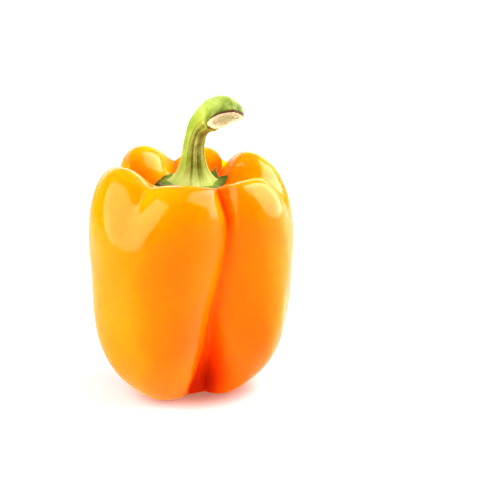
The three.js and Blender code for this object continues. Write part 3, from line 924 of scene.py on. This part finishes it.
SHADOW_UNDER_PEPPER, PAPER = (0.3, 0.11, 0.08, 1), (0.34, 0.33, 0.32, 1)
PINK_GLOW, WHITE_GLOW, YELLOW_GLOW = (1, 0.5, 0.35, 1), (1, 0.94, 0.9, 1), (1, 0.9, 0.18, 1)

paper, tree, shader = new_material("white_table", (1, 1, 1, 1))
shader.inputs["Roughness"].default_value = 0.9
shader.inputs["Specular IOR Level"].default_value = 0
place_on_table = add(tree, "ShaderNodeTexCoord").outputs["Object"]
distance = add(tree, "ShaderNodeVectorMath", operation="LENGTH")
plug(tree, place_on_table, distance.inputs[0])
away = distance.outputs["Value"]
sides = add(tree, "ShaderNodeSeparateXYZ")
plug(tree, place_on_table, sides.inputs[0])
to_right, to_back = sides.outputs[0], sides.outputs[1]
# painted contact shadow: the paper is darker right under the pepper
paper_and_painted_shadow = blended(tree, ranged(tree, away, 0.012, 0.03), SHADOW_UNDER_PEPPER, PAPER)
plug(tree, paper_and_painted_shadow, shader.inputs["Base Color"])

seen = add(tree, "ShaderNodeLightPath").outputs["Is Camera Ray"]
glow = blended(tree, ranged(tree, away, 0.012, 0.04), PINK_GLOW, WHITE_GLOW)
plug(tree, blended(tree, seen, YELLOW_GLOW, glow), shader.inputs["Emission Color"])
from_front = ranged(tree, to_back, -0.06, 0.02, 1.3, 0.2)
bounce = math_node(tree, "MULTIPLY", from_front, ranged(tree, to_right, 0.02, 0.08, 1, 0.6))
# painted shadow: the glow the camera sees is weaker near the pepper and on its right
seen_glow_and_painted_shadow = ranged(tree, away, 0.014, 0.1, 0.34, 0.62)
seen_glow_and_painted_shadow = math_node(tree, "MULTIPLY", seen_glow_and_painted_shadow, ranged(tree, to_right, 0.0, 0.04, 1, 0.6))
seen_glow_and_painted_shadow = math_node(tree, "ADD", seen_glow_and_painted_shadow, ranged(tree, away, 0.25, 0.5, 0, 0.5))
plug(tree, blended(tree, seen, bounce, seen_glow_and_painted_shadow), shader.inputs["Emission Strength"])
floor.data.materials.append(paper)
print("table:", 2 * REACH, "m square")

# %% [markdown]
# A softbox is an area light. Its heading is measured like every angle here, from +X towards +Y, and
# its size is given as the angle that it covers as seen from the pepper, because that is the size of
# its reflection in the skin.

# %% Light
LIGHT_CENTRE = Vector((0, 0, 0.06))  # the middle of the pepper, which both softboxes face


def softbox(name, heading, height, width, tall, radiance, distance=0.55):
    """An area light that faces the pepper. Angles in degrees; it covers width by tall degrees."""
    h, v = math.radians(heading), math.radians(height)
    towards = Vector((math.cos(v) * math.cos(h), math.cos(v) * math.sin(h), math.sin(v)))
    light = bpy.data.lights.new(name, "AREA")
    light.shape = "RECTANGLE"
    light.size = 2 * distance * math.tan(math.radians(width / 2))
    light.size_y = 2 * distance * math.tan(math.radians(tall / 2))
    light.energy = radiance * math.pi * light.size * light.size_y
    lamp = bpy.data.objects.new(name, light)
    lamp.location = towards * distance + LIGHT_CENTRE
    lamp.rotation_euler = towards.to_track_quat("Z", "Y").to_euler()
    lamp.visible_camera = False
    bpy.context.scene.collection.objects.link(lamp)
    print(name, "size, m:", round(light.size, 2), round(light.size_y, 2))


softbox("left_softbox", -156, 26, 50, 66, 11.8)
softbox("right_softbox", 12, 31, 62, 80, 11.8)

# %% [markdown]
# The world is the room: a wall behind that is brightest low down and to the left, and a dim light
# all round that is a little stronger from above. Only the camera sees it white all over.

# %% Room
world = bpy.data.worlds.new("white_room")
bpy.context.scene.world = world
world.use_nodes = True
tree = world.node_tree
background = tree.nodes["Background"]
looking = add(tree, "ShaderNodeSeparateXYZ")
plug(tree, add(tree, "ShaderNodeTexCoord").outputs["Generated"], looking.inputs[0])
east, north, rise = looking.outputs
low_wall = math_node(tree, "MULTIPLY", ranged(tree, north, 0.35, 0.85), ranged(tree, rise, 0.42, 0.2))
backdrop = math_node(tree, "MULTIPLY", ranged(tree, north, 0.72, 0.9), ranged(tree, rise, 0.5, 0.4))
low_wall = math_node(tree, "MULTIPLY", low_wall, 0.8)
wall = math_node(tree, "ADD", low_wall, math_node(tree, "MULTIPLY", backdrop, 1.6))
wall = math_node(tree, "MULTIPLY", wall, ranged(tree, east, 0.2, 0.6, 1, 0.3))
behind = math_node(tree, "ADD", wall, ranged(tree, rise, 0.5, 0.9, 0.1, 0.25))
seen = add(tree, "ShaderNodeLightPath").outputs["Is Camera Ray"]
room = blended(tree, seen, behind, (1.0, 1.0, 1.0, 1.0))
plug(tree, room, background.inputs["Color"])
print("lights:", [light.name for light in bpy.data.lights], "world:", world.name)

# %% [markdown]
# The camera looks along its own -Z. Its three axes are built from the direction to the aimed point,
# and the lens follows from how many millimetres a pixel covers at the pepper.

# %% Camera
ELEVATION = math.radians(20)
DISTANCE = 0.8
MM_PER_PIXEL = 0.396
SENSOR, PICTURE = 36, 500  # the sensor's width in mm, and the picture's in pixels
TARGET = Vector(CENTRE * MM) + Vector((0, 0, 0.048))
BESIDE = (60, 22)  # pixels from the target to the middle of the picture, right and up

back = Vector((0, -math.cos(ELEVATION), math.sin(ELEVATION)))
right = Vector((1, 0, 0))
up = back.cross(right)
place = TARGET + back * DISTANCE
aim = TARGET + (right * BESIDE[0] + up * BESIDE[1]) * MM_PER_PIXEL * MM
towards = (aim - place).normalized()
right = (right - towards * right.dot(towards)).normalized()
up = right.cross(towards)
camera_data = bpy.data.cameras.new("camera")
camera_data.lens = SENSOR * (DISTANCE / (MM_PER_PIXEL * MM)) / PICTURE
camera_data.sensor_width = SENSOR
camera_data.clip_start, camera_data.clip_end = 0.01, 50
camera = bpy.data.objects.new("camera", camera_data)
camera.matrix_world = Matrix.Translation(place) @ Matrix((right, up, -towards)).transposed().to_4x4()
bpy.context.scene.collection.objects.link(camera)
bpy.context.scene.camera = camera
bpy.context.scene.view_settings.view_transform = "Standard"
print("lens, mm:", round(camera_data.lens, 1))
